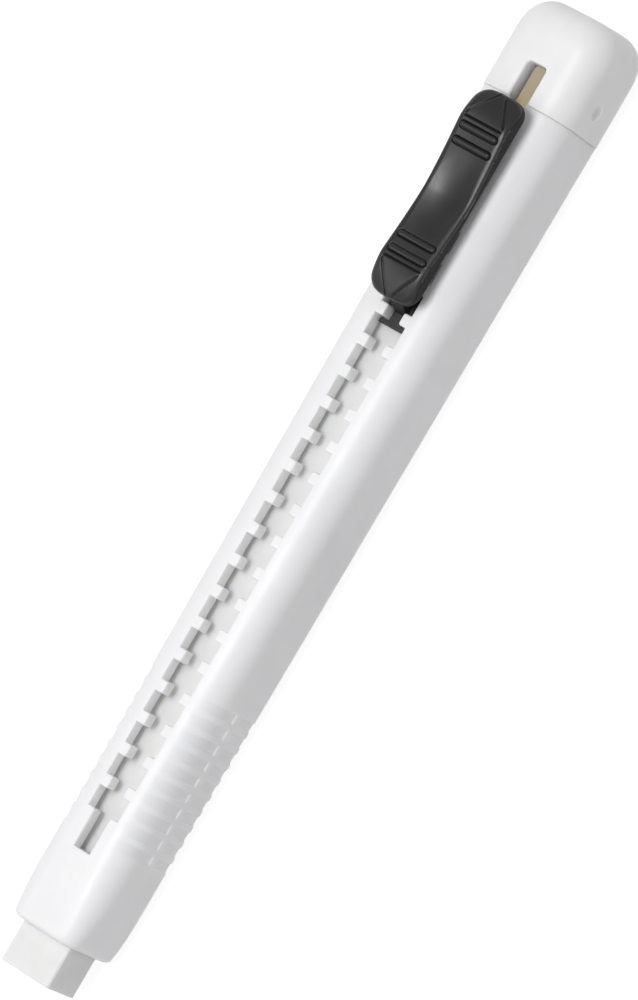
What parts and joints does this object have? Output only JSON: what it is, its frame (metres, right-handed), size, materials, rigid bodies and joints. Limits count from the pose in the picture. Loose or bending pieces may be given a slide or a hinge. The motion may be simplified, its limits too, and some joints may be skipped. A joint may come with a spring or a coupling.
{
  "type": "retractable eraser",
  "caption": "Slim retractable eraser: an eraser stick in a flat-sided barrel, moved and locked by a thumb button along a notched slot, with a pull-off end cap.",
  "frame": {"origin": "on the flat back face, under the middle of the whole length, eraser tip to cap end", "axes": "+X along the barrel from the eraser's tip to the cap, +Z out of the slotted face towards the thumb, +Y across"},
  "size_m": [0.1222, 0.0126, 0.016],
  "materials": {
    "barrel_plastic": "satin white moulded plastic",
    "cap_plastic": "satin white moulded plastic",
    "slider_plastic": "glossy black moulded plastic",
    "eraser_vinyl": "matt white vinyl"
  },
  "bodies": {
    "body": {"barrel": "barrel_plastic"},
    "cap": {"end_cap": "cap_plastic"},
    "carriage": {"eraser_holder": "slider_plastic"},
    "button": {"thumb_button": "slider_plastic", "spring_tongue": "slider_plastic"},
    "eraser": {"eraser_stick": "eraser_vinyl"}
  },
  "joints": [
    {"name": "slider_travel", "type": "slide", "parent": "body", "child": "carriage", "axis": [-1, 0, 0], "range_m": [-0.008, 0.06]},
    {"name": "button_press", "type": "hinge", "parent": "carriage", "child": "button", "pos_m": [0.0438, 0, 0.0128], "axis": [0, -1, 0], "range_deg": [0, 1.8], "stiffness_Nm_per_rad": 2.9, "deforming": ["spring_tongue"]},
    {"name": "cap_pull", "type": "slide", "parent": "body", "child": "cap", "axis": [1, 0, 0], "range_m": [0, 0.02]},
    {"name": "eraser_refill", "type": "slide", "parent": "carriage", "child": "eraser", "axis": [-1, 0, 0], "range_m": [0, 0.095]}
  ]
}
